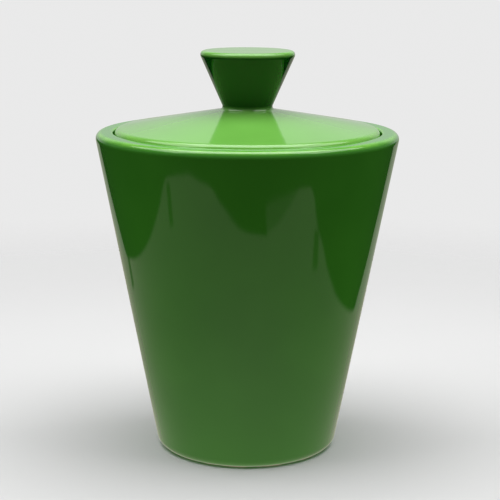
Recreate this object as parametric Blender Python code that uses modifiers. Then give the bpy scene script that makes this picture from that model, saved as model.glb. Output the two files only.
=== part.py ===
"""Tobacco jar: a glazed ceramic cone standing on its small end. The lid lies on a ledge in the rim and is closed by a
lipped ring round its plug. In the middle of its underside a collar holds a humidifier: a spun brass can with a wet clay
disc in it, behind a pierced cap. Metres, +Z up, the origin at the centre of the foot."""

import math

import bmesh
import bpy
from mathutils import Vector

# Jar, outside: radii are taken where the sloping wall meets the rim plane and the table, before the edges are rounded
RIM_HEIGHT = 0.1348
RIM_RADIUS = 0.0635
BASE_RADIUS = 0.0376
RIM_EDGE = 0.0028
BASE_EDGE = 0.0047

# Jar, inside
WALL = 0.0060
FLOOR = 0.0070
FLOOR_CORNER = 0.0080
FOOT_WIDTH = 0.0085
FOOT_RECESS = 0.0016

# Rebate in the rim, with the ledge that carries the lid
RIM_LIP = 0.0077
REBATE_DEPTH = 0.0046
LEDGE_WIDTH = 0.0052
LEDGE_THICKNESS = 0.0045
SMALL_EDGE = 0.0009

# Lid and knob
LID_CLEARANCE = 0.0006
LID_PROUD = 0.0010
LID_EDGE = 0.0027
LID_WALL = 0.0055
CONE_RISE = 0.0082
NECK_RADIUS = 0.0098
NECK_FILLET = 0.0015
NECK_BORE = 0.0048
KNOB_RADIUS = 0.0205
KNOB_HEIGHT = 0.02405
KNOB_EDGE = 0.0019
KNOB_WALL = 0.0046

# Plug ring under the lid, and the lipped ring in its groove
PLUG_CLEARANCE = 0.0017
PLUG_DEPTH = 0.0065
PLUG_WALL = 0.0047
GROOVE_DROP = 0.0013
GROOVE_HEIGHT = 0.0028
GROOVE_DEPTH = 0.0018
SEAL_LIPS = 2
LIP_THICKNESS = 0.0005

# Humidifier in the lid's collar
CAN_RADIUS = 0.0300
CAN_HEIGHT = 0.0133
CAN_EDGE = 0.0015
SHEET = 0.0008
COLLAR_CLEARANCE = 0.0009
COLLAR_WALL = 0.0039
COLLAR_DEPTH = 0.0095
SEAT_WIDTH = 0.0034
BEAD_DROP = 0.0036
BEAD_HEIGHT = 0.0024
BEAD_DEPTH = 0.0008
CAP_SKIRT = 0.0040
CAP_CURL = 0.0007
HOLE_RADIUS = 0.0019
HOLE_PITCH = 0.0080
HOLE_RINGS = 3
DISC_EDGE = 0.0010

# Gap left between neighbours that touch
GAP = 0.0003

# Facets round the ceramic pieces, the metal and rubber ones, and each hole
CERAMIC_STEPS = 60
METAL_STEPS = 40
HOLE_STEPS = 10
COARSE_TURN = math.radians(45)
FINE_TURN = math.radians(30)
LARGE_ROUNDING = 0.0015
MERGE = 0.00001


# Places and sizes that follow from the values above

WALL_SLOPE = (RIM_RADIUS - BASE_RADIUS) / RIM_HEIGHT
WALL_ACROSS = WALL * math.sqrt(1 + WALL_SLOPE ** 2)
REBATE_RADIUS = RIM_RADIUS - RIM_LIP
LEDGE_Z = RIM_HEIGHT - REBATE_DEPTH
MOUTH_RADIUS = REBATE_RADIUS - LEDGE_WIDTH

LID_RADIUS = REBATE_RADIUS - LID_CLEARANCE
LID_TOP_Z = RIM_HEIGHT + LID_PROUD
LID_UNDER_Z = LEDGE_Z + GAP
NECK_Z = LID_TOP_Z + CONE_RISE
KNOB_TOP_Z = NECK_Z + KNOB_HEIGHT
KNOB_SLOPE = (KNOB_RADIUS - NECK_RADIUS) / KNOB_HEIGHT
KNOB_ACROSS = KNOB_WALL * math.sqrt(1 + KNOB_SLOPE ** 2)

PLUG_RADIUS = MOUTH_RADIUS - PLUG_CLEARANCE
PLUG_INNER_RADIUS = PLUG_RADIUS - PLUG_WALL
GROOVE_TOP_Z = LID_UNDER_Z - GROOVE_DROP
GROOVE_RADIUS = PLUG_RADIUS - GROOVE_DEPTH

COLLAR_RADIUS = CAN_RADIUS + COLLAR_CLEARANCE
COLLAR_OUTER_RADIUS = COLLAR_RADIUS + COLLAR_WALL


def outer_radius(z):
    """Outer radius of the jar's sloping wall at a height."""
    return BASE_RADIUS + WALL_SLOPE * z


def inner_radius(z):
    """Inner radius of the jar's wall at a height."""
    return outer_radius(z) - WALL_ACROSS


def lid_top(radius):
    """Height of the lid's cone at a radius."""
    return LID_TOP_Z + CONE_RISE * (LID_RADIUS - radius) / (LID_RADIUS - NECK_RADIUS)


def lid_ceiling(radius):
    """Height of the lid's underside at a radius, one wall below its cone."""
    return lid_top(radius) - LID_WALL


def knob_radius(z):
    """Outer radius of the knob's flank at a height."""
    return NECK_RADIUS + KNOB_SLOPE * (z - NECK_Z)


SEAT_Z = lid_ceiling(COLLAR_OUTER_RADIUS)
CAN_TOP_Z = SEAT_Z - GAP
CAN_MOUTH_Z = CAN_TOP_Z - CAN_HEIGHT
CAP_FACE_Z = CAN_MOUTH_Z - GAP
CAP_RADIUS = CAN_RADIUS + GAP + SHEET
BEAD_TOP_Z = CAN_TOP_Z - BEAD_DROP
BEAD_RADIUS = CAN_RADIUS - BEAD_DEPTH


def rounded(corners, closed=False):
    """Return the outline through corners (radius, height, rounding), with each corner turned as an arc."""
    outline = []
    last = len(corners) - 1
    for index, (radius, height, rounding) in enumerate(corners):
        corner = Vector((radius, height))
        if rounding == 0 or (not closed and index in (0, last)):
            outline.append(corner)
            continue
        back = Vector(corners[index - 1][:2]) - corner
        ahead = Vector(corners[(index + 1) % len(corners)][:2]) - corner
        half = back.angle(ahead) / 2
        reach = min(rounding / math.tan(half), 0.45 * back.length, 0.45 * ahead.length)
        arc_radius = reach * math.tan(half)
        centre = corner + (back.normalized() + ahead.normalized()).normalized() * arc_radius / math.sin(half)
        start = corner + back.normalized() * reach - centre
        end = corner + ahead.normalized() * reach - centre
        sweep = math.pi - 2 * half
        turn = FINE_TURN if rounding >= LARGE_ROUNDING else COARSE_TURN
        steps = max(1, round(sweep / turn))
        for step in range(steps + 1):
            part = step / steps
            outline.append(centre + (start * math.sin((1 - part) * sweep) + end * math.sin(part * sweep))
                           / math.sin(sweep))
    return outline


def material(name, colour, roughness, metallic=0.0):
    """Make a plain material."""
    made = bpy.data.materials.new(name)
    made.use_nodes = True
    shader = made.node_tree.nodes["Principled BSDF"]
    shader.inputs["Base Color"].default_value = (*colour, 1.0)
    shader.inputs["Roughness"].default_value = roughness
    shader.inputs["Metallic"].default_value = metallic
    return made


def add_object(name, mesh, collection, finish, parent):
    """Put a mesh in a collection as a named object under its moving parent."""
    made = bpy.data.objects.new(name, mesh)
    collection.objects.link(made)
    made.data.materials.append(finish)
    made.parent = parent
    return made


def turned(name, outline, closed, steps, collection, finish, parent):
    """Turn an outline of (radius, height) points about the vertical axis; its outer side runs from top to bottom."""
    mesh = bpy.data.meshes.new(name)
    points = [(point.x, 0.0, point.y) for point in outline]
    edges = [(index, index + 1) for index in range(len(points) - 1)]
    if closed:
        edges.append((len(points) - 1, 0))
    mesh.from_pydata(points, edges, [])
    made = add_object(name, mesh, collection, finish, parent)
    screw = made.modifiers.new("turn", "SCREW")
    screw.axis = "Z"
    screw.angle = math.tau
    screw.steps = steps
    screw.render_steps = steps
    screw.use_merge_vertices = True
    screw.merge_threshold = MERGE
    screw.use_smooth_shade = True
    return made


def sheet_metal(made):
    """Give a turned open surface the thickness of its sheet, inwards."""
    wall = made.modifiers.new("sheet", "SOLIDIFY")
    wall.thickness = SHEET
    wall.offset = -1.0
    wall.use_even_offset = True


def add_jar_body(collection, finish, parent):
    """Cone with a ledge in its rim and a foot ring round a shallow recess."""
    ledge_under_z = LEDGE_Z - LEDGE_THICKNESS
    slope_run = (inner_radius(ledge_under_z) - MOUTH_RADIUS) / (1 + WALL_SLOPE)
    foot_inner = BASE_RADIUS - FOOT_WIDTH
    corners = [
        (0.0, FLOOR, 0.0),
        (inner_radius(FLOOR), FLOOR, FLOOR_CORNER),
        (MOUTH_RADIUS + slope_run, ledge_under_z - slope_run, RIM_EDGE),
        (MOUTH_RADIUS, ledge_under_z, SMALL_EDGE),
        (MOUTH_RADIUS, LEDGE_Z, SMALL_EDGE),
        (REBATE_RADIUS, LEDGE_Z, SMALL_EDGE),
        (REBATE_RADIUS, RIM_HEIGHT, SMALL_EDGE),
        (RIM_RADIUS, RIM_HEIGHT, RIM_EDGE),
        (BASE_RADIUS, 0.0, BASE_EDGE),
        (foot_inner, 0.0, SMALL_EDGE),
        (foot_inner - FOOT_RECESS, FOOT_RECESS, 0.0),
        (0.0, FOOT_RECESS, 0.0),
    ]
    return turned("jar_body", rounded(corners), False, CERAMIC_STEPS, collection, finish, parent)


def add_lid(collection, finish, parent):
    """Shallow cone with its hollow knob, plug ring and collar, turned as one casting."""
    plug_bottom = LID_UNDER_Z - PLUG_DEPTH
    groove_bottom = GROOVE_TOP_Z - GROOVE_HEIGHT
    collar_bottom = SEAT_Z - COLLAR_DEPTH
    bore_top = NECK_Z + (NECK_BORE + KNOB_ACROSS - NECK_RADIUS) / KNOB_SLOPE
    hollow_top = KNOB_TOP_Z - KNOB_WALL
    corners = [
        (0.0, KNOB_TOP_Z, 0.0),
        (KNOB_RADIUS, KNOB_TOP_Z, KNOB_EDGE),
        (NECK_RADIUS, NECK_Z, NECK_FILLET),
        (LID_RADIUS, LID_TOP_Z, LID_EDGE),
        (LID_RADIUS, LID_UNDER_Z, SMALL_EDGE),
        (PLUG_RADIUS, LID_UNDER_Z, 0.0),
        (PLUG_RADIUS, GROOVE_TOP_Z, 0.0),
        (GROOVE_RADIUS, GROOVE_TOP_Z, 0.0),
        (GROOVE_RADIUS, groove_bottom, 0.0),
        (PLUG_RADIUS, groove_bottom, 0.0),
        (PLUG_RADIUS, plug_bottom, SMALL_EDGE),
        (PLUG_INNER_RADIUS, plug_bottom, SMALL_EDGE),
        (PLUG_INNER_RADIUS, lid_ceiling(PLUG_INNER_RADIUS), LID_EDGE),
        (COLLAR_OUTER_RADIUS, SEAT_Z, LID_EDGE),
        (COLLAR_OUTER_RADIUS, collar_bottom, SMALL_EDGE),
        (COLLAR_RADIUS, collar_bottom, SMALL_EDGE),
        (COLLAR_RADIUS, SEAT_Z, 0.0),
        (COLLAR_RADIUS - SEAT_WIDTH, SEAT_Z, 0.0),
        (NECK_BORE, lid_ceiling(NECK_RADIUS), SMALL_EDGE),
        (NECK_BORE, bore_top, 0.0),
        (knob_radius(hollow_top) - KNOB_ACROSS, hollow_top, LID_EDGE),
        (0.0, hollow_top, 0.0),
    ]
    return turned("lid", rounded(corners), False, CERAMIC_STEPS, collection, finish, parent)


def add_lid_seal(collection, finish, parent):
    """Ring in the plug's groove, with lips that reach the wall of the mouth."""
    bottom = GROOVE_TOP_Z - GROOVE_HEIGHT + GAP
    height = GROOVE_HEIGHT - 2 * GAP
    inside = GROOVE_RADIUS + GAP
    tip = MOUTH_RADIUS - GAP
    share = height / SEAL_LIPS
    corners = [(inside, bottom, 0.0), (inside, bottom + height, 0.0)]
    for lip in reversed(range(SEAL_LIPS)):
        middle = bottom + (lip + 0.5) * share
        corners += [
            (PLUG_RADIUS, middle + share / 2, 0.0),
            (tip, middle + LIP_THICKNESS / 2, 0.0),
            (tip, middle - LIP_THICKNESS / 2, 0.0),
        ]
    corners.append((PLUG_RADIUS, bottom, 0.0))
    return turned("lid_seal", rounded(corners), True, CERAMIC_STEPS, collection, finish, parent)


def add_can(collection, finish, parent):
    """Spun can, open below, with a rolled groove near its top."""
    bead_bottom_z = BEAD_TOP_Z - BEAD_HEIGHT
    corners = [
        (0.0, CAN_TOP_Z, 0.0),
        (CAN_RADIUS, CAN_TOP_Z, CAN_EDGE),
        (CAN_RADIUS, BEAD_TOP_Z, 0.0),
        (BEAD_RADIUS, BEAD_TOP_Z - BEAD_DEPTH / 2, 0.0),
        (BEAD_RADIUS, bead_bottom_z + BEAD_DEPTH / 2, 0.0),
        (CAN_RADIUS, bead_bottom_z, 0.0),
        (CAN_RADIUS, CAN_MOUTH_Z, 0.0),
    ]
    made = turned("humidifier_can", rounded(corners), False, METAL_STEPS, collection, finish, parent)
    sheet_metal(made)
    return made


def add_grip_ring(collection, finish, parent):
    """Rubber ring in the can's groove, which grips the collar."""
    middle = BEAD_TOP_Z - BEAD_HEIGHT / 2
    half = BEAD_HEIGHT / 2 - BEAD_DEPTH / 2 - GAP / 2
    inside = BEAD_RADIUS + GAP
    outside = COLLAR_RADIUS - GAP
    corners = [
        (outside, middle + half, SMALL_EDGE),
        (outside, middle - half, SMALL_EDGE),
        (inside, middle - half, 0.0),
        (inside, middle + half, 0.0),
    ]
    return turned("grip_ring", rounded(corners, True), True, METAL_STEPS, collection, finish, parent)


def add_moisture_disc(collection, finish, parent):
    """Clay disc that lies on the cap inside the can."""
    top = CAN_TOP_Z - SHEET - GAP
    bottom = CAP_FACE_Z + GAP
    radius = BEAD_RADIUS - SHEET - GAP
    corners = [
        (0.0, top, 0.0),
        (radius, top, DISC_EDGE),
        (radius, bottom, DISC_EDGE),
        (0.0, bottom, 0.0),
    ]
    return turned("moisture_disc", rounded(corners), False, METAL_STEPS, collection, finish, parent)


def hole_places():
    """Return the centres of the cap's holes: one in the middle, then rings of six more each time."""
    places = [(0.0, 0.0)]
    for ring in range(1, HOLE_RINGS + 1):
        count = 6 * ring
        for index in range(count):
            angle = math.tau * index / count
            places.append((ring * HOLE_PITCH * math.cos(angle), ring * HOLE_PITCH * math.sin(angle)))
    return places


def add_hole_cutter(cutters, height):
    """Round cutters through the cap's face, in one object."""
    length = 4 * SHEET
    shape = bmesh.new()
    for x, y in hole_places():
        made = bmesh.ops.create_cone(shape, cap_ends=True, segments=HOLE_STEPS, radius1=HOLE_RADIUS,
                                     radius2=HOLE_RADIUS, depth=length)
        bmesh.ops.translate(shape, verts=made["verts"], vec=(x, y, height))
    mesh = bpy.data.meshes.new("cap_holes")
    shape.to_mesh(mesh)
    shape.free()
    cutter = bpy.data.objects.new("cap_holes", mesh)
    cutter.hide_render = True
    cutter.display_type = "WIRE"
    cutters.objects.link(cutter)
    return cutter


def add_cap(collection, cutters, finish, parent):
    """Pierced cap whose skirt goes over the can's open end, with its edge curled out as a finger hold."""
    under = CAP_FACE_Z - SHEET
    skirt_top = under + CAP_SKIRT
    corners = [
        (CAP_RADIUS + CAP_CURL, skirt_top, 0.0),
        (CAP_RADIUS, skirt_top - CAP_CURL, 0.0),
        (CAP_RADIUS, under, CAN_EDGE),
        (0.0, under, 0.0),
    ]
    made = turned("humidifier_cap", rounded(corners), False, METAL_STEPS, collection, finish, parent)
    sheet_metal(made)
    cut = made.modifiers.new("holes", "BOOLEAN")
    cut.operation = "DIFFERENCE"
    cut.solver = "EXACT"
    cut.object = add_hole_cutter(cutters, under + SHEET / 2)
    return made


def add_axis(name, collection, parent):
    """Empty on the axis that a moving piece slides along."""
    axis = bpy.data.objects.new(name, None)
    collection.objects.link(axis)
    axis.parent = parent
    return axis


def build():
    """Model the jar."""
    for old in list(bpy.data.objects):
        bpy.data.objects.remove(old)
    collection = bpy.data.collections.new("tobacco_jar")
    cutters = bpy.data.collections.new("cutters")
    bpy.context.scene.collection.children.link(collection)
    bpy.context.scene.collection.children.link(cutters)

    glaze = material("green_glaze", (0.06, 0.27, 0.03), 0.06)
    silicone = material("silicone", (0.72, 0.72, 0.68), 0.5)
    rubber = material("black_rubber", (0.03, 0.03, 0.03), 0.6)
    brass = material("brass", (0.78, 0.57, 0.26), 0.28, 1.0)
    clay = material("fired_clay", (0.58, 0.27, 0.16), 0.95)

    jar_axis = add_axis("jar_axis", collection, None)
    lid_axis = add_axis("lid_axis", collection, jar_axis)
    humidifier_axis = add_axis("humidifier_axis", collection, lid_axis)
    cap_axis = add_axis("cap_axis", collection, humidifier_axis)

    add_jar_body(collection, glaze, jar_axis)
    add_lid(collection, glaze, lid_axis)
    add_lid_seal(collection, silicone, lid_axis)
    add_can(collection, brass, humidifier_axis)
    add_grip_ring(collection, rubber, humidifier_axis)
    add_moisture_disc(collection, clay, humidifier_axis)
    add_cap(collection, cutters, brass, cap_axis)


build()
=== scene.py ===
"""Looks of the tobacco jar: a glossy green ceramic cone with its knobbed lid, the lipped ring that closes
it, and the brass humidifier under the lid. Every piece is turned from the outline of its section.
Metres, +Z up."""

import math

import bmesh
import bpy
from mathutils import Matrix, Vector


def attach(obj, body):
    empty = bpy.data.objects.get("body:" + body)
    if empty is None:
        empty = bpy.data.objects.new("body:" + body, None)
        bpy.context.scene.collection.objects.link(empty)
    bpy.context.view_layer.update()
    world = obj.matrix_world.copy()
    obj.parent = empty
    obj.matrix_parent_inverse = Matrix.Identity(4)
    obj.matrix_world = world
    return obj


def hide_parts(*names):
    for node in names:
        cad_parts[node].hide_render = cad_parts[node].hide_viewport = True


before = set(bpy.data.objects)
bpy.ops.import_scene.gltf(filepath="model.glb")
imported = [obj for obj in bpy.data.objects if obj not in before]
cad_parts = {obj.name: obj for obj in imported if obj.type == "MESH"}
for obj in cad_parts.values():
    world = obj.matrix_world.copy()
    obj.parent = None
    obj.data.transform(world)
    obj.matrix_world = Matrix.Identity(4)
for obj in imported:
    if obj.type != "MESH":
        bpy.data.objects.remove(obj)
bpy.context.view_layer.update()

# Jar, outside: radii where the sloping wall meets the planes of rim and foot, before edges are rounded
RIM_HEIGHT = 0.1348
RIM_RADIUS = 0.0635
BASE_RADIUS = 0.0376
RIM_EDGE = 0.0028
BASE_EDGE = 0.0047

# Jar, inside
WALL = 0.0060
FLOOR = 0.0070
FLOOR_CORNER = 0.0080
FOOT_WIDTH = 0.0085
FOOT_RECESS = 0.0016

# Rebate in the rim, with the ledge that carries the lid
RIM_LIP = 0.0077
REBATE_DEPTH = 0.0046
LEDGE_WIDTH = 0.0052
LEDGE_THICKNESS = 0.0045
SMALL_EDGE = 0.0009

# Lid and knob
LID_CLEARANCE = 0.0006
LID_PROUD = 0.0010
LID_EDGE = 0.0027
LID_WALL = 0.0055
CONE_RISE = 0.0082
NECK_RADIUS = 0.0098
NECK_FILLET = 0.0015
NECK_BORE = 0.0048
KNOB_RADIUS = 0.0205
KNOB_HEIGHT = 0.02405
KNOB_EDGE = 0.0019
KNOB_WALL = 0.0046

# Plug ring under the lid, and the lipped ring in its groove
PLUG_CLEARANCE = 0.0017
PLUG_DEPTH = 0.0065
PLUG_WALL = 0.0047
GROOVE_DROP = 0.0013
GROOVE_HEIGHT = 0.0028
GROOVE_DEPTH = 0.0018
SEAL_LIPS = 2
LIP_THICKNESS = 0.0005
RUBBER_EDGE = 0.00015

# Humidifier in the lid's collar
CAN_RADIUS = 0.0300
CAN_HEIGHT = 0.0133
CAN_EDGE = 0.0015
SHEET = 0.0008
COLLAR_CLEARANCE = 0.0009
COLLAR_WALL = 0.0039
COLLAR_DEPTH = 0.0095
SEAT_WIDTH = 0.0034
BEAD_DROP = 0.0036
BEAD_HEIGHT = 0.0024
BEAD_DEPTH = 0.0008
BEAD_EDGE = 0.0004
GRIP_ROUND_SHARE = 0.9
CAP_SKIRT = 0.0040
CAP_CURL = 0.0007
HOLE_RADIUS = 0.0019
HOLE_PITCH = 0.0080
HOLE_RINGS = 3
HOLES_PER_RING = 6
METAL_BURR = 0.00012
DISC_EDGE = 0.0010

# Gap left between neighbours that touch
GAP = 0.0003

# Facets round the ceramic pieces, the metal and rubber ones and each hole, and the turn of one in an edge
CERAMIC_STEPS = 288
METAL_STEPS = 192
HOLE_STEPS = 24
ARC_TURN = math.radians(9)

# Angle up to which neighbouring faces look smooth, and distance within which points are one
SMOOTH_ANGLE = math.radians(32)
MERGE = 0.000002


# Places and sizes that follow from the values above

WALL_SLOPE = (RIM_RADIUS - BASE_RADIUS) / RIM_HEIGHT
WALL_ACROSS = WALL * math.sqrt(1 + WALL_SLOPE ** 2)
REBATE_RADIUS = RIM_RADIUS - RIM_LIP
LEDGE_Z = RIM_HEIGHT - REBATE_DEPTH
MOUTH_RADIUS = REBATE_RADIUS - LEDGE_WIDTH
FOOT_INNER_RADIUS = BASE_RADIUS - FOOT_WIDTH

LID_RADIUS = REBATE_RADIUS - LID_CLEARANCE
LID_TOP_Z = RIM_HEIGHT + LID_PROUD
LID_UNDER_Z = LEDGE_Z + GAP
NECK_Z = LID_TOP_Z + CONE_RISE
KNOB_TOP_Z = NECK_Z + KNOB_HEIGHT
KNOB_SLOPE = (KNOB_RADIUS - NECK_RADIUS) / KNOB_HEIGHT
KNOB_ACROSS = KNOB_WALL * math.sqrt(1 + KNOB_SLOPE ** 2)

PLUG_RADIUS = MOUTH_RADIUS - PLUG_CLEARANCE
PLUG_INNER_RADIUS = PLUG_RADIUS - PLUG_WALL
PLUG_BOTTOM_Z = LID_UNDER_Z - PLUG_DEPTH
GROOVE_TOP_Z = LID_UNDER_Z - GROOVE_DROP
GROOVE_RADIUS = PLUG_RADIUS - GROOVE_DEPTH

COLLAR_RADIUS = CAN_RADIUS + COLLAR_CLEARANCE
COLLAR_OUTER_RADIUS = COLLAR_RADIUS + COLLAR_WALL


def outer_radius(z):
    """Outer radius of the jar's sloping wall at a height."""
    return BASE_RADIUS + WALL_SLOPE * z


def inner_radius(z):
    """Inner radius of the jar's wall at a height."""
    return outer_radius(z) - WALL_ACROSS


def lid_ceiling(radius):
    """Height of the lid's underside at a radius, one wall below its cone."""
    return LID_TOP_Z + CONE_RISE * (LID_RADIUS - radius) / (LID_RADIUS - NECK_RADIUS) - LID_WALL


def knob_radius(z):
    """Outer radius of the knob's flank at a height."""
    return NECK_RADIUS + KNOB_SLOPE * (z - NECK_Z)


SEAT_Z = lid_ceiling(COLLAR_OUTER_RADIUS)
COLLAR_BOTTOM_Z = SEAT_Z - COLLAR_DEPTH
CAN_TOP_Z = SEAT_Z - GAP
CAN_MOUTH_Z = CAN_TOP_Z - CAN_HEIGHT
CAP_FACE_Z = CAN_MOUTH_Z - GAP
CAP_RADIUS = CAN_RADIUS + GAP + SHEET
BEAD_TOP_Z = CAN_TOP_Z - BEAD_DROP
BEAD_RADIUS = CAN_RADIUS - BEAD_DEPTH
PUNCH_DEPTH = 6 * SHEET


# Camera and light

CAMERA_PLACE = (0.0, -0.62367, 0.21383)
CAMERA_DOWN = math.radians(11.757)
CAMERA_LEAN = math.radians(-0.25)
LENS = 108.37
SENSOR = 36.0
SHIFT = 0.00355
NEAREST_SEEN = 0.01

# Lamps: place, turn about Y, width, depth and power in watts
SOFTBOX = ((0.0, 0.0, 0.98), 0.0, 1.00, 0.75, 13.4)
SIDE_BOX = ((0.654, -0.05, 0.858), math.radians(40), 0.35, 0.90, 3.2)

# Pale shapes of the floor that the glaze mirrors: a patch in front with a bite and a dim step, and a wedge
# behind. Each side has its heading from the jar in degrees and its distance in metres
PATCH_SIDES = [(171.6, 0.2362), (10.65, 0.1705), (-90.0, 0.2400), (-144.9, 0.2958), (-129.7, 0.2895),
               (-108.3, 0.2655), (-71.3, 0.2544), (-57.2, 0.2668), (-18.2, 0.2485)]
WEDGE_SIDES = [(-162.2, 0.1517), (-27.8, 0.0968), (-90.0, 0.0)]
BITE_SIDES = [(101.8, -0.2142), (0.0, 0.0580)]
STEP_SIDES = [(90.0, -0.2110), (180.0, -0.0500), (0.0, 0.1600)]
STEP_SHADE = 0.45
PATCH_FEATHER = 0.005
NEAR_GLOW = (0.66, 0.62, 0.53, 1.0)
FAR_GLOW = (0.43, 0.42, 0.33, 1.0)
GLOW_PLACE = (0.0, -0.050, 0.0)
GLOW_REACH = 0.160
WEDGE_GLOW = (0.40, 0.42, 0.33, 1.0)

# Thin dark streaks across the pale floor: start, end and width in metres
STREAKS = [((-0.2479, -0.1440), (-0.2054, -0.1198), 0.016), ((0.1926, -0.1328), (0.1617, -0.1048), 0.017),
           ((-0.2242, 0.1559), (-0.1782, 0.1260), 0.020)]
STREAK_DEPTH = 0.8

FLOOR_SIZE = 6.0
FLOOR_SEEN = 0.58
FLOOR_DARK = 0.012
FLOOR_FADE_START = 0.22
FLOOR_FADE_END = 0.55

# Levels of grey round the jar
BACKGROUND = 0.82
BACKDROP_TOP = 0.75
BACKDROP_FOOT = 0.56
ROOM = 0.15
FILL = 0.02

# Where these levels meet, by the height of a direction and by how far it points behind the jar
BACKDROP_LOW = 0.05
BACKDROP_HIGH = 0.40
BEHIND_START = 0.62
BEHIND_FULL = 0.88
FRONT_FULL = -0.9
FRONT_END = -0.3


# Shaping by hand: drawing an outline and turning it

def pick(piece, wanted):
    """Select, in edit mode, the vertices whose place passes a test."""
    shape = bmesh.from_edit_mesh(piece.data)
    for vertex in shape.verts:
        vertex.select = wanted(vertex.co)
    shape.select_flush_mode()
    bmesh.update_edit_mesh(piece.data)


def near(radius, height):
    """Return a test for the point of an outline at a radius and a height."""
    return lambda place: math.hypot(place.x - radius, place.z - height) < MERGE


def corner_angle(before, corner, after):
    """Angle between the two runs that meet in a corner of an outline."""
    back = Vector((before[0] - corner[0], before[1] - corner[1]))
    ahead = Vector((after[0] - corner[0], after[1] - corner[1]))
    return back.angle(ahead)


def draw_outline(name, corners, closed):
    """Draw corners (radius, height, rounding) as a chain of edges, and round those that ask for it."""
    bpy.ops.object.select_all(action="DESELECT")
    bpy.ops.mesh.primitive_plane_add(size=GAP)
    piece = bpy.context.object
    piece.name = name
    piece.data.name = name
    bpy.ops.object.mode_set(mode="EDIT")
    bpy.ops.mesh.select_mode(type="VERT")
    bpy.ops.mesh.select_all(action="SELECT")
    bpy.ops.mesh.merge(type="CENTER")
    bpy.ops.transform.translate(value=(corners[0][0], 0, corners[0][1]))
    for here, there in zip(corners, corners[1:]):
        step = (there[0] - here[0], 0, there[1] - here[1])
        bpy.ops.mesh.extrude_vertices_move(TRANSFORM_OT_translate={"value": step})
    if closed:
        first = near(*corners[0][:2])
        last = near(*corners[-1][:2])
        pick(piece, lambda place: first(place) or last(place))
        bpy.ops.mesh.edge_face_add()
    for index, corner in enumerate(corners):
        radius, height, rounding = corner
        if rounding == 0:
            continue
        angle = corner_angle(corners[index - 1], corner, corners[(index + 1) % len(corners)])
        pick(piece, near(radius, height))
        bpy.ops.mesh.bevel(affect="VERTICES", offset_type="OFFSET", offset=rounding / math.tan(angle / 2),
                           segments=max(2, math.ceil((math.pi - angle) / ARC_TURN)), clamp_overlap=False)
    return piece


def turn(name, corners, steps, closed=False):
    """Turn an outline about the jar's axis into a piece."""
    piece = draw_outline(name, corners, closed)
    bpy.ops.mesh.select_all(action="SELECT")
    bpy.ops.mesh.spin(steps=steps, angle=math.tau, center=(0, 0, 0), axis=(0, 0, 1))
    bpy.ops.mesh.select_all(action="SELECT")
    bpy.ops.mesh.remove_doubles(threshold=MERGE)
    bpy.ops.mesh.normals_make_consistent(inside=False)
    bpy.ops.object.mode_set(mode="OBJECT")
    return piece


def apply_modifier(piece, kind, **settings):
    """Add a modifier to a piece and apply it."""
    bpy.ops.object.select_all(action="DESELECT")
    piece.select_set(True)
    bpy.context.view_layer.objects.active = piece
    modifier = piece.modifiers.new(kind.lower(), kind)
    for setting, value in settings.items():
        setattr(modifier, setting, value)
    bpy.ops.object.modifier_apply(modifier=modifier.name)


def give_thickness(piece):
    """Turn a thin skin into sheet metal, with its outside where the skin was."""
    apply_modifier(piece, "SOLIDIFY", thickness=SHEET, offset=-1.0, use_even_offset=True)


def break_edges(piece):
    """Take the sharpness off the edges of sheet metal."""
    apply_modifier(piece, "BEVEL", width=METAL_BURR, segments=2, limit_method="ANGLE")


def dress(piece, finish, body, node):
    """Smooth a piece with its flats kept flat, give it its material, and let it stand for its node."""
    bpy.ops.object.shade_smooth_by_angle(angle=SMOOTH_ANGLE)
    apply_modifier(piece, "WEIGHTED_NORMAL", keep_sharp=True)
    piece.data.materials.clear()
    piece.data.materials.append(finish)
    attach(piece, body)
    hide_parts(node)


# Wiring of materials

def put(tree, kind, inputs=None, **settings):
    """Add a node. Each input is given a plain value or another node's output."""
    node = tree.nodes.new(kind)
    for setting, value in settings.items():
        setattr(node, setting, value)
    for socket, value in (inputs or {}).items():
        if isinstance(value, bpy.types.NodeSocket):
            tree.links.new(value, node.inputs[socket])
        else:
            node.inputs[socket].default_value = value
    return node


def figure(tree, operation, *values):
    """Work out a sum, product or the like of numbers and outputs."""
    return put(tree, "ShaderNodeMath", dict(enumerate(values)), operation=operation).outputs[0]


def blend_colours(tree, share, first, second):
    """Go from the first colour to the second by a share."""
    node = put(tree, "ShaderNodeMix", {0: share, 6: first, 7: second}, data_type="RGBA")
    return node.outputs[2]


def rescale(tree, value, low, high, to_low, to_high):
    """Bring a value from one range to another with soft ends."""
    ends = {"Value": value, "From Min": low, "From Max": high, "To Min": to_low, "To Max": to_high}
    return put(tree, "ShaderNodeMapRange", ends, interpolation_type="SMOOTHSTEP").outputs[0]


def grey(level):
    """Colour of one level in every channel."""
    return (level, level, level, 1.0)


def new_group(name, inputs, outputs):
    """Start a node group. Inputs map a name to a socket kind and a default, outputs to a socket kind."""
    tree = bpy.data.node_groups.new(name, "ShaderNodeTree")
    for label, (kind, default) in inputs.items():
        socket = tree.interface.new_socket(name=label, in_out="INPUT", socket_type=kind)
        if default is not None:
            socket.default_value = default
    for label, kind in outputs.items():
        tree.interface.new_socket(name=label, in_out="OUTPUT", socket_type=kind)
    return tree, tree.nodes.new("NodeGroupInput"), tree.nodes.new("NodeGroupOutput")


NUMBER = "NodeSocketFloat"
VECTOR = "NodeSocketVector"

# Part of the noise that clouds spread over their whole range
CLOUD_RANGE = (0.3, 0.7)


def combine(tree, operation, *vectors):
    """Work out a vector from vectors, or one number such as their distance."""
    node = put(tree, "ShaderNodeVectorMath", dict(enumerate(vectors)), operation=operation)
    return node.outputs["Value" if operation in ("LENGTH", "DISTANCE", "DOT_PRODUCT") else "Vector"]


def from_axis(tree, place):
    """Distance of a point from the jar's axis."""
    return combine(tree, "LENGTH", combine(tree, "MULTIPLY", place, (1, 1, 0)))


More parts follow.
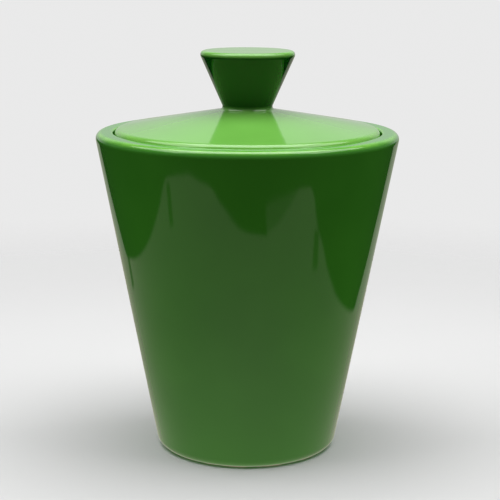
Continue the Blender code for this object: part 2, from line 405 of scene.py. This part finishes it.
def height_of(tree, place):
    """Height of a point above the foot."""
    return put(tree, "ShaderNodeSeparateXYZ", {0: place}).outputs[2]


def noise_at(tree, place, scale, detail=2.0):
    """Soft noise round one half, with finer noise on it as the detail rises."""
    return put(tree, "ShaderNodeTexNoise", {"Vector": place, "Scale": scale, "Detail": detail}).outputs[0]


def make_ring_group():
    """Mask of how near a point is to a circle round the jar's axis, such as a rounded edge."""
    tree, given, result = new_group(
        "near a ring",
        {"Place": (VECTOR, None), "Radius": (NUMBER, 0.05),
         "Height": (NUMBER, 0.1), "Width": (NUMBER, 0.002)},
        {"Mask": NUMBER})
    across = figure(tree, "SUBTRACT", from_axis(tree, given.outputs["Place"]), given.outputs["Radius"])
    up = figure(tree, "SUBTRACT", height_of(tree, given.outputs["Place"]), given.outputs["Height"])
    away = combine(tree, "LENGTH", put(tree, "ShaderNodeCombineXYZ", {0: across, 2: up}).outputs[0])
    tree.links.new(rescale(tree, away, 0.0, given.outputs["Width"], 1.0, 0.0), result.inputs["Mask"])
    return tree


def make_cloud_group():
    """Soft uneven patches between two values, for glaze thickness, tarnish or damp."""
    tree, given, result = new_group(
        "clouds",
        {"Place": (VECTOR, None), "Scale": (NUMBER, 40.0), "Detail": (NUMBER, 2.0),
         "Low": (NUMBER, 0.0), "High": (NUMBER, 1.0)},
        {"Value": NUMBER})
    noise = noise_at(tree, given.outputs["Place"], given.outputs["Scale"], given.outputs["Detail"])
    spread = rescale(tree, noise, *CLOUD_RANGE, given.outputs["Low"], given.outputs["High"])
    tree.links.new(spread, result.inputs["Value"])
    return tree


def make_speck_group():
    """Small scattered dots, for grog, pinholes and dust."""
    tree, given, result = new_group(
        "specks",
        {"Place": (VECTOR, None), "Scale": (NUMBER, 900.0), "Size": (NUMBER, 0.2), "Share": (NUMBER, 0.3)},
        {"Mask": NUMBER})
    spacing = {"Vector": given.outputs["Place"], "Scale": given.outputs["Scale"]}
    cells = put(tree, "ShaderNodeTexVoronoi", spacing)
    dot = rescale(tree, cells.outputs["Distance"], 0.0, given.outputs["Size"], 1.0, 0.0)
    tint = put(tree, "ShaderNodeSeparateColor", {0: cells.outputs["Color"]})
    chosen = figure(tree, "LESS_THAN", tint.outputs[0], given.outputs["Share"])
    tree.links.new(figure(tree, "MULTIPLY", dot, chosen), result.inputs["Mask"])
    return tree


def make_spun_group():
    """Fine rings left by turning, seen on faces across the axis and on walls along it."""
    tree, given, result = new_group(
        "spun rings",
        {"Place": (VECTOR, None), "Scale": (NUMBER, 3000.0)},
        {"Height": NUMBER})
    radius = from_axis(tree, given.outputs["Place"])
    along = put(tree, "ShaderNodeCombineXYZ", {0: radius, 2: height_of(tree, given.outputs["Place"])})
    noise = noise_at(tree, along.outputs[0], given.outputs["Scale"], detail=3.0)
    tree.links.new(noise, result.inputs["Height"])
    return tree


RING = make_ring_group()
CLOUDS = make_cloud_group()
SPECKS = make_speck_group()
SPUN = make_spun_group()


def effect(tree, group, place, **values):
    """Place a shared effect in a material and return its output."""
    inputs = {"Place": place}
    inputs.update({name.capitalize(): value for name, value in values.items()})
    return put(tree, "ShaderNodeGroup", inputs, node_tree=group).outputs[0]


def start_material(name, metallic=0.0):
    """Start a material, and return its tree, its shader and the place of a point on the piece."""
    made = bpy.data.materials.new(name)
    made.use_nodes = True
    tree = made.node_tree
    shader = tree.nodes["Principled BSDF"]
    shader.inputs["Metallic"].default_value = metallic
    place = put(tree, "ShaderNodeTexCoord").outputs["Object"]
    return made, tree, shader, place


def raise_surface(tree, shader, heights):
    """Stack bumps on the shader's normal; each is a height from 0 to 1 and its depth in metres."""
    normal = None
    for height, depth in heights:
        inputs = {"Height": height, "Distance": depth, "Strength": 1.0}
        if normal is not None:
            inputs["Normal"] = normal
        normal = put(tree, "ShaderNodeBump", inputs).outputs[0]
    tree.links.new(normal, shader.inputs["Normal"])


def paint(tree, shader, share, shades, dots, dot_colour):
    """Colour a shader: two shades blended by a share, with dots of another colour on them."""
    colour = blend_colours(tree, dots, blend_colours(tree, share, *shades), dot_colour)
    tree.links.new(colour, shader.inputs["Base Color"])


# Finishes: pairs of shades or of roughnesses that clouds blend, and depths of bumps

# Lit and shaded copies of one green glaze: the jar's is darker and more saturated as painted shade for its
# wall, which faces down, and the lid's is paler as painted light from the lamps above
SHADED_JAR_GLAZE = ((0.052, 0.270, 0.021, 1.0), (0.045, 0.246, 0.018, 1.0))
LIT_LID_GLAZE = ((0.134, 0.375, 0.061, 1.0), (0.122, 0.347, 0.054, 1.0))
# Paler green for edges: partly glaze run thin, partly a painted highlight
GLAZE_THIN_AND_HIGHLIGHT = (0.190, 0.480, 0.060, 1.0)
# Painted shade: a dark green for the knob's flank, which faces down below the knob's top
FLANK_PAINTED_SHADE = (0.002, 0.080, 0.001, 1.0)
GLAZE_ROUGHNESS = (0.035, 0.060)
GLAZE_WAVES = 0.00014
GLAZE_PEEL = 0.000002

# Edges painted paler, partly as glaze run thin and partly as a painted highlight, by radius, height and
# width, and how much of the pale colour is there
JAR_EDGES = [(RIM_RADIUS - RIM_EDGE / 2, RIM_HEIGHT, 0.0022), (REBATE_RADIUS, RIM_HEIGHT, 0.0012)]
LID_EDGES = [(LID_RADIUS, LID_TOP_Z, 0.0022), (KNOB_RADIUS, KNOB_TOP_Z, 0.0020)]
PALE_EDGE_SHARES = (0.45, 0.85)

# Heights between which the painted shade on the knob's flank sets in and ends
FLANK_START = (NECK_Z, NECK_Z + 1.4 * NECK_FILLET)
FLANK_END = (KNOB_TOP_Z - 1.3 * KNOB_EDGE, KNOB_TOP_Z - 0.6 * KNOB_EDGE)

# Bare clay below the ragged line of the glaze, on the jar's foot and under the lid's plug ring
JAR_BARE_BELOW = 0.0001
LID_BARE_BELOW = PLUG_BOTTOM_Z + 0.0004
LINE_DROP = 0.0001
LINE_RISE = 0.0002
LINE_BLUR = 0.00008
BARE_CLAY = (0.56, 0.46, 0.34, 1.0)
BARE_CLAY_DARK = (0.44, 0.34, 0.24, 1.0)
BARE_ROUGHNESS = 0.85
BARE_GRAIN = 0.00012

SILICONE = ((0.72, 0.72, 0.68, 1.0), (0.66, 0.65, 0.58, 1.0))
SILICONE_DUST = (0.42, 0.36, 0.26, 1.0)
SILICONE_ROUGHNESS = (0.38, 0.55)
SILICONE_GRAIN = 0.00001

RUBBER = ((0.022, 0.022, 0.022, 1.0), (0.045, 0.044, 0.042, 1.0))
RUBBER_DUST = (0.16, 0.15, 0.13, 1.0)
RUBBER_ROUGHNESS = (0.55, 0.75)
RUBBER_GRAIN = 0.00002

BRASS = ((0.78, 0.57, 0.26, 1.0), (0.60, 0.39, 0.16, 1.0))
BRASS_SPOTS = (0.30, 0.17, 0.07, 1.0)
BRASS_ROUGHNESS = (0.20, 0.34)
RING_ROUGHNESS = 0.08
RING_DEPTH = 0.000008

RED_CLAY = ((0.58, 0.27, 0.16, 1.0), (0.42, 0.17, 0.09, 1.0))
RED_CLAY_GRAINS = (0.72, 0.45, 0.30, 1.0)
RED_CLAY_ROUGHNESS = (0.95, 0.70)
PORE_DEPTH = 0.00020


def thin_and_highlit_edges(tree, place, edges):
    """Mask of the edges painted paler: glaze run thin there, and a painted highlight."""
    mask = 0.0
    for radius, height, width in edges:
        edge = effect(tree, RING, place, radius=radius, height=height, width=width)
        mask = figure(tree, "MAXIMUM", mask, edge)
    least, most = PALE_EDGE_SHARES
    uneven = effect(tree, CLOUDS, place, scale=120.0, detail=3.0, low=least, high=most)
    return figure(tree, "MULTIPLY", mask, uneven)


def flank_shade_mask(tree, height):
    """Mask of the painted shade on the knob's flank, from its neck to its upper edge."""
    above_neck = rescale(tree, height, *FLANK_START, 0.0, 1.0)
    below_edge = rescale(tree, height, *FLANK_END, 1.0, 0.0)
    return figure(tree, "MULTIPLY", above_neck, below_edge)


def bare_face(tree, place, height, bare_below):
    """Mask of the clay that the glaze was wiped off, below a ragged line."""
    line = effect(tree, CLOUDS, place, scale=160.0, detail=2.0,
                  low=bare_below - LINE_DROP, high=bare_below + LINE_RISE)
    return rescale(tree, figure(tree, "SUBTRACT", height, line), -LINE_BLUR, LINE_BLUR, 1.0, 0.0)


def green_glaze(name, shades, bare_below, edges):
    """Glossy glaze, paler on edges as thin glaze and a painted highlight, with painted shade on the knob's
    flank, and wiped off the face it is fired on.
    """
    made, tree, shader, place = start_material(name)
    height = height_of(tree, place)
    colour = blend_colours(tree, effect(tree, CLOUDS, place, scale=30.0, detail=2.0), *shades)
    # paler edges: thin glaze and a painted highlight
    colour = blend_colours(tree, thin_and_highlit_edges(tree, place, edges), colour, GLAZE_THIN_AND_HIGHLIGHT)
    # painted shade on the knob's flank
    colour = blend_colours(tree, flank_shade_mask(tree, height), colour, FLANK_PAINTED_SHADE)
    bare = bare_face(tree, place, height, bare_below)
    grog = effect(tree, SPECKS, place, scale=1500.0, size=0.45, share=0.35)
    clay = blend_colours(tree, grog, BARE_CLAY, BARE_CLAY_DARK)
    tree.links.new(blend_colours(tree, bare, colour, clay), shader.inputs["Base Color"])

    smooth, dull = GLAZE_ROUGHNESS
    gloss = effect(tree, CLOUDS, place, scale=60.0, detail=4.0, low=smooth, high=dull)
    tree.links.new(rescale(tree, bare, 0.0, 1.0, gloss, BARE_ROUGHNESS), shader.inputs["Roughness"])

    waves = noise_at(tree, place, scale=42.0, detail=1.0)
    peel = noise_at(tree, place, scale=650.0, detail=1.0)
    grain = figure(tree, "MULTIPLY", noise_at(tree, place, scale=2500.0), bare)
    raise_surface(tree, shader, [(waves, GLAZE_WAVES), (peel, GLAZE_PEEL), (grain, BARE_GRAIN)])
    return made


def milky_silicone():
    """Satin translucent-looking silicone with a little dust."""
    made, tree, shader, place = start_material("milky silicone")
    clouds = effect(tree, CLOUDS, place, scale=90.0, detail=3.0)
    dust = effect(tree, SPECKS, place, scale=700.0, size=0.25, share=0.2)
    paint(tree, shader, clouds, SILICONE, dust, SILICONE_DUST)
    tree.links.new(rescale(tree, clouds, 0.0, 1.0, *SILICONE_ROUGHNESS), shader.inputs["Roughness"])
    raise_surface(tree, shader, [(noise_at(tree, place, scale=3000.0), SILICONE_GRAIN)])
    return made


def black_rubber():
    """Matte moulded rubber with pale dust in its grain."""
    made, tree, shader, place = start_material("black rubber")
    clouds = effect(tree, CLOUDS, place, scale=150.0, detail=4.0)
    dust = effect(tree, SPECKS, place, scale=1200.0, size=0.3, share=0.15)
    paint(tree, shader, clouds, RUBBER, dust, RUBBER_DUST)
    tree.links.new(rescale(tree, clouds, 0.0, 1.0, *RUBBER_ROUGHNESS), shader.inputs["Roughness"])
    raise_surface(tree, shader, [(noise_at(tree, place, scale=4000.0), RUBBER_GRAIN)])
    return made


def spun_brass():
    """Satin brass with turning rings, brown tarnish in patches and darker spots."""
    made, tree, shader, place = start_material("spun brass", metallic=1.0)
    rings = effect(tree, SPUN, place, scale=3200.0)
    tarnish = effect(tree, CLOUDS, place, scale=110.0, detail=5.0)
    spots = effect(tree, SPECKS, place, scale=420.0, size=0.28, share=0.12)
    paint(tree, shader, tarnish, BRASS, spots, BRASS_SPOTS)
    dull = rescale(tree, tarnish, 0.0, 1.0, *BRASS_ROUGHNESS)
    ringed = figure(tree, "ADD", dull, figure(tree, "MULTIPLY", rings, RING_ROUGHNESS))
    tree.links.new(ringed, shader.inputs["Roughness"])
    raise_surface(tree, shader, [(rings, RING_DEPTH)])
    return made


def fired_clay():
    """Porous red clay with coarse grains and damp darker patches."""
    made, tree, shader, place = start_material("fired clay")
    damp = effect(tree, CLOUDS, place, scale=70.0, detail=4.0)
    grains = effect(tree, SPECKS, place, scale=1300.0, size=0.5, share=0.4)
    paint(tree, shader, damp, RED_CLAY, grains, RED_CLAY_GRAINS)
    tree.links.new(rescale(tree, damp, 0.0, 1.0, *RED_CLAY_ROUGHNESS), shader.inputs["Roughness"])
    raise_surface(tree, shader, [(noise_at(tree, place, scale=1800.0, detail=4.0), PORE_DEPTH)])
    return made


# Pieces

def make_jar_body(finish):
    """Cone with a ledge in its rim and a foot ring round a shallow recess."""
    ledge_under_z = LEDGE_Z - LEDGE_THICKNESS
    slope_run = (inner_radius(ledge_under_z) - MOUTH_RADIUS) / (1 + WALL_SLOPE)
    corners = [
        (0.0, FLOOR, 0.0),
        (inner_radius(FLOOR), FLOOR, FLOOR_CORNER),
        (MOUTH_RADIUS + slope_run, ledge_under_z - slope_run, RIM_EDGE),
        (MOUTH_RADIUS, ledge_under_z, SMALL_EDGE),
        (MOUTH_RADIUS, LEDGE_Z, SMALL_EDGE),
        (REBATE_RADIUS, LEDGE_Z, SMALL_EDGE),
        (REBATE_RADIUS, RIM_HEIGHT, SMALL_EDGE),
        (RIM_RADIUS, RIM_HEIGHT, RIM_EDGE),
        (BASE_RADIUS, 0.0, BASE_EDGE),
        (FOOT_INNER_RADIUS, 0.0, SMALL_EDGE / 2),
        (FOOT_INNER_RADIUS - FOOT_RECESS, FOOT_RECESS, SMALL_EDGE),
        (0.0, FOOT_RECESS, 0.0),
    ]
    piece = turn("glazed_jar", corners, CERAMIC_STEPS)
    dress(piece, finish, "jar", "jar_body")


def make_lid(finish):
    """Shallow cone with its hollow knob, plug ring and collar, cast in one."""
    groove_bottom = GROOVE_TOP_Z - GROOVE_HEIGHT
    bore_top = NECK_Z + (NECK_BORE + KNOB_ACROSS - NECK_RADIUS) / KNOB_SLOPE
    hollow_top = KNOB_TOP_Z - KNOB_WALL
    corners = [
        (0.0, KNOB_TOP_Z, 0.0),
        (KNOB_RADIUS, KNOB_TOP_Z, KNOB_EDGE),
        (NECK_RADIUS, NECK_Z, NECK_FILLET),
        (LID_RADIUS, LID_TOP_Z, LID_EDGE),
        (LID_RADIUS, LID_UNDER_Z, SMALL_EDGE),
        (PLUG_RADIUS, LID_UNDER_Z, SMALL_EDGE / 2),
        (PLUG_RADIUS, GROOVE_TOP_Z, SMALL_EDGE / 4),
        (GROOVE_RADIUS, GROOVE_TOP_Z, SMALL_EDGE / 4),
        (GROOVE_RADIUS, groove_bottom, SMALL_EDGE / 4),
        (PLUG_RADIUS, groove_bottom, SMALL_EDGE / 4),
        (PLUG_RADIUS, PLUG_BOTTOM_Z, SMALL_EDGE),
        (PLUG_INNER_RADIUS, PLUG_BOTTOM_Z, SMALL_EDGE),
        (PLUG_INNER_RADIUS, lid_ceiling(PLUG_INNER_RADIUS), LID_EDGE),
        (COLLAR_OUTER_RADIUS, SEAT_Z, LID_EDGE),
        (COLLAR_OUTER_RADIUS, COLLAR_BOTTOM_Z, SMALL_EDGE),
        (COLLAR_RADIUS, COLLAR_BOTTOM_Z, SMALL_EDGE),
        (COLLAR_RADIUS, SEAT_Z, SMALL_EDGE / 4),
        (COLLAR_RADIUS - SEAT_WIDTH, SEAT_Z, SMALL_EDGE / 2),
        (NECK_BORE, lid_ceiling(NECK_RADIUS), SMALL_EDGE),
        (NECK_BORE, bore_top, SMALL_EDGE),
        (knob_radius(hollow_top) - KNOB_ACROSS, hollow_top, LID_EDGE),
        (0.0, hollow_top, 0.0),
    ]
    piece = turn("glazed_lid", corners, CERAMIC_STEPS)
    dress(piece, finish, "lid", "lid")


def make_lid_seal(finish):
    """Ring in the plug's groove, with lips that reach the wall of the mouth."""
    bottom = GROOVE_TOP_Z - GROOVE_HEIGHT + GAP
    height = GROOVE_HEIGHT - 2 * GAP
    inside = GROOVE_RADIUS + GAP
    tip = MOUTH_RADIUS - GAP
    share = height / SEAL_LIPS
    corners = [(inside, bottom, RUBBER_EDGE), (inside, bottom + height, RUBBER_EDGE)]
    for lip in reversed(range(SEAL_LIPS)):
        middle = bottom + (lip + 0.5) * share
        corners += [
            (PLUG_RADIUS, middle + share / 2, RUBBER_EDGE / 2),
            (tip, middle + LIP_THICKNESS / 2, RUBBER_EDGE),
            (tip, middle - LIP_THICKNESS / 2, RUBBER_EDGE),
        ]
    corners.append((PLUG_RADIUS, bottom, RUBBER_EDGE / 2))
    piece = turn("sealing_ring", corners, CERAMIC_STEPS, closed=True)
    dress(piece, finish, "lid", "lid_seal")


def make_can(finish):
    """Spun can, open below, with a rolled groove near its top."""
    bead_bottom_z = BEAD_TOP_Z - BEAD_HEIGHT
    corners = [
        (0.0, CAN_TOP_Z, 0.0),
        (CAN_RADIUS, CAN_TOP_Z, CAN_EDGE),
        (CAN_RADIUS, BEAD_TOP_Z, BEAD_EDGE),
        (BEAD_RADIUS, BEAD_TOP_Z - BEAD_DEPTH / 2, BEAD_EDGE),
        (BEAD_RADIUS, bead_bottom_z + BEAD_DEPTH / 2, BEAD_EDGE),
        (CAN_RADIUS, bead_bottom_z, BEAD_EDGE),
        (CAN_RADIUS, CAN_MOUTH_Z, 0.0),
    ]
    piece = turn("spun_can", corners, METAL_STEPS)
    give_thickness(piece)
    break_edges(piece)
    dress(piece, finish, "humidifier", "humidifier_can")


def make_grip_ring(finish):
    """Rubber ring in the can's groove, which grips the collar."""
    middle = BEAD_TOP_Z - BEAD_HEIGHT / 2
    half = BEAD_HEIGHT / 2 - BEAD_DEPTH / 2 - GAP / 2
    inside = BEAD_RADIUS + GAP
    outside = COLLAR_RADIUS - GAP
    corners = [
        (outside, middle + half, half * GRIP_ROUND_SHARE),
        (outside, middle - half, half * GRIP_ROUND_SHARE),
        (inside, middle - half, RUBBER_EDGE),
        (inside, middle + half, RUBBER_EDGE),
    ]
    piece = turn("rubber_grip_ring", corners, METAL_STEPS, closed=True)
    dress(piece, finish, "humidifier", "grip_ring")


def make_moisture_disc(finish):
    """Clay disc that lies on the cap inside the can."""
    top = CAN_TOP_Z - SHEET - GAP
    bottom = CAP_FACE_Z + GAP
    radius = BEAD_RADIUS - SHEET - GAP
    corners = [
        (0.0, top, 0.0),
        (radius, top, DISC_EDGE),
        (radius, bottom, DISC_EDGE),
        (0.0, bottom, 0.0),
    ]
    piece = turn("clay_disc", corners, METAL_STEPS)
    dress(piece, finish, "humidifier", "moisture_disc")


def hole_places():
    """Return the centres of the cap's holes: one in the middle, then rings of six more each time."""
    places = [(0.0, 0.0)]
    for ring in range(1, HOLE_RINGS + 1):
        count = HOLES_PER_RING * ring
        for index in range(count):
            angle = math.tau * index / count
            places.append((ring * HOLE_PITCH * math.cos(angle), ring * HOLE_PITCH * math.sin(angle)))
    return places


def make_punch(height):
    """Round cutters through the cap's face, joined in one object."""
    bpy.ops.object.select_all(action="DESELECT")
    cutters = []
    for x, y in hole_places():
        bpy.ops.mesh.primitive_cylinder_add(vertices=HOLE_STEPS, radius=HOLE_RADIUS, depth=PUNCH_DEPTH,
                                            location=(x, y, height))
        cutters.append(bpy.context.object)
    for cutter in cutters:
        cutter.select_set(True)
    bpy.ops.object.join()
    return bpy.context.object


def make_cap(finish):
    """Pierced cap whose skirt goes over the can's open end, with its edge curled out as a finger hold."""
    under = CAP_FACE_Z - SHEET
    skirt_top = under + CAP_SKIRT
    corners = [
        (CAP_RADIUS + CAP_CURL, skirt_top, 0.0),
        (CAP_RADIUS, skirt_top - CAP_CURL, BEAD_EDGE),
        (CAP_RADIUS, under, CAN_EDGE),
        (0.0, under, 0.0),
    ]
    piece = turn("pierced_cap", corners, METAL_STEPS)
    give_thickness(piece)
    punch = make_punch(under + SHEET / 2)
    apply_modifier(piece, "BOOLEAN", operation="DIFFERENCE", solver="EXACT", object=punch)
    bpy.data.objects.remove(punch)
    break_edges(piece)
    dress(piece, finish, "humidifier_cap", "humidifier_cap")


# Studio

def add_camera():
    """Camera in front of the jar, looking slightly down."""
    bpy.ops.object.camera_add(location=CAMERA_PLACE, rotation=(math.pi / 2 - CAMERA_DOWN, CAMERA_LEAN, 0))
    camera = bpy.context.object
    camera.data.lens = LENS
    camera.data.sensor_width = SENSOR
    camera.data.shift_x = SHIFT
    camera.data.clip_start = NEAREST_SEEN
    bpy.context.scene.camera = camera


def add_lamp(name, side, place, tilt, width, depth, power):
    """Soft rectangular lamp above the jar. A side of -1 mirrors it to the left."""
    x, y, z = place
    bpy.ops.object.light_add(type="AREA", location=(side * x, y, z), rotation=(0, side * tilt, 0))
    lamp = bpy.context.object
    lamp.name = name
    lamp.data.shape = "RECTANGLE"
    lamp.data.size = width
    lamp.data.size_y = depth
    lamp.data.energy = power
    lamp.visible_camera = False


def add_world():
    """Pale background, a backdrop and a dim room that the jar mirrors, and a weak fill for its front."""
    world = bpy.data.worlds.new("studio")
    bpy.context.scene.world = world
    world.use_nodes = True
    tree = world.node_tree
    path = put(tree, "ShaderNodeLightPath")
    mirrored = figure(tree, "MAXIMUM", path.outputs["Is Glossy Ray"], path.outputs["Is Transmission Ray"])
    towards = put(tree, "ShaderNodeTexCoord").outputs["Generated"]
    direction = put(tree, "ShaderNodeSeparateXYZ", {0: towards})
    behind = direction.outputs[1]
    up = direction.outputs[2]
    backdrop = rescale(tree, up, BACKDROP_LOW, BACKDROP_HIGH, BACKDROP_FOOT, BACKDROP_TOP)
    level = rescale(tree, behind, BEHIND_START, BEHIND_FULL, ROOM, backdrop)
    fill = rescale(tree, behind, FRONT_FULL, FRONT_END, ROOM, FILL)
    colour = blend_colours(tree, mirrored, fill, level)
    colour = blend_colours(tree, path.outputs["Is Camera Ray"], colour, grey(BACKGROUND))
    tree.links.new(colour, tree.nodes["Background"].inputs["Color"])


def within(tree, place, sides):
    """Mask that is 1 where a point of the floor lies behind all the sides."""
    mask = 1.0
    for heading, distance in sides:
        ahead = (math.cos(math.radians(heading)), math.sin(math.radians(heading)), 0)
        reach = combine(tree, "DOT_PRODUCT", place, ahead)
        side = rescale(tree, reach, distance - PATCH_FEATHER, distance + PATCH_FEATHER, 1.0, 0.0)
        mask = figure(tree, "MULTIPLY", mask, side)
    return mask


def streak_sides(start, end, width):
    """Sides of a straight streak, each with its heading from the jar and its distance."""
    heading = math.atan2(end[1] - start[1], end[0] - start[0])
    first = start[0] * math.cos(heading) + start[1] * math.sin(heading)
    last = end[0] * math.cos(heading) + end[1] * math.sin(heading)
    across = start[1] * math.cos(heading) - start[0] * math.sin(heading)
    turned = math.degrees(heading)
    return [(turned, last), (turned + 180, -first),
            (turned + 90, width / 2 + across), (turned - 90, width / 2 - across)]


def mirrored_floor(tree, place):
    """Colour of the floor that the glaze mirrors: pale shapes with thin dark streaks, else dark."""
    bite = within(tree, place, BITE_SIDES)
    step = figure(tree, "MULTIPLY", within(tree, place, STEP_SIDES), 1.0 - STEP_SHADE)
    patch = within(tree, place, PATCH_SIDES)
    for taken in (bite, step):
        patch = figure(tree, "MULTIPLY", patch, figure(tree, "SUBTRACT", 1.0, taken))
    away = combine(tree, "DISTANCE", place, GLOW_PLACE)
    glow = blend_colours(tree, rescale(tree, away, 0.0, GLOW_REACH, 0.0, 1.0), NEAR_GLOW, FAR_GLOW)
    behind = blend_colours(tree, within(tree, place, WEDGE_SIDES), grey(FLOOR_DARK), WEDGE_GLOW)
    colour = blend_colours(tree, patch, behind, glow)
    for start, end, width in STREAKS:
        streak = within(tree, place, streak_sides(start, end, width))
        shade = figure(tree, "MULTIPLY", streak, STREAK_DEPTH)
        colour = blend_colours(tree, shade, colour, grey(FLOOR_DARK))
    return colour


def add_floor():
    """Plain pale floor that melts into the background, and that the glaze mirrors as pale shapes."""
    bpy.ops.mesh.primitive_plane_add(size=FLOOR_SIZE)
    floor = bpy.context.object
    floor.name = "floor"
    made = bpy.data.materials.new("pale floor")
    made.use_nodes = True
    tree = made.node_tree
    tree.nodes.remove(tree.nodes["Principled BSDF"])
    path = put(tree, "ShaderNodeLightPath")
    geometry = put(tree, "ShaderNodeNewGeometry")
    place = put(tree, "ShaderNodeTexCoord").outputs["Object"]
    away = combine(tree, "LENGTH", place)
    lit = put(tree, "ShaderNodeBsdfDiffuse", {"Color": grey(FLOOR_SEEN)})
    clear = put(tree, "ShaderNodeBsdfTransparent")
    faded = rescale(tree, away, FLOOR_FADE_START, FLOOR_FADE_END, 0.0, 1.0)
    gone = figure(tree, "MAXIMUM", faded, geometry.outputs["Backfacing"])
    seen = put(tree, "ShaderNodeMixShader", {0: gone, 1: lit.outputs[0], 2: clear.outputs[0]})
    mirror = put(tree, "ShaderNodeEmission", {"Color": mirrored_floor(tree, place)})
    mixed = put(tree, "ShaderNodeMixShader",
                {0: path.outputs["Is Camera Ray"], 1: mirror.outputs[0], 2: seen.outputs[0]})
    tree.links.new(mixed.outputs[0], tree.nodes["Material Output"].inputs["Surface"])
    made.cycles.emission_sampling = "NONE"
    floor.data.materials.append(made)


def build():
    """Dress the jar and set up the studio."""
    add_camera()
    # the jar takes the shaded copy of the glaze, the lid the lit copy
    jar_glaze = green_glaze("green glaze, jar, shaded copy", SHADED_JAR_GLAZE, JAR_BARE_BELOW, JAR_EDGES)
    lid_glaze = green_glaze("green glaze, lid, lit copy", LIT_LID_GLAZE, LID_BARE_BELOW, LID_EDGES)
    brass = spun_brass()
    make_jar_body(jar_glaze)
    make_lid(lid_glaze)
    make_lid_seal(milky_silicone())
    make_can(brass)
    make_grip_ring(black_rubber())
    make_moisture_disc(fired_clay())
    make_cap(brass)
    add_lamp("softbox", 1, *SOFTBOX)
    add_lamp("right_softbox", 1, *SIDE_BOX)
    add_lamp("left_softbox", -1, *SIDE_BOX)
    add_world()
    add_floor()

    bpy.context.scene.view_settings.view_transform = "Standard"


build()
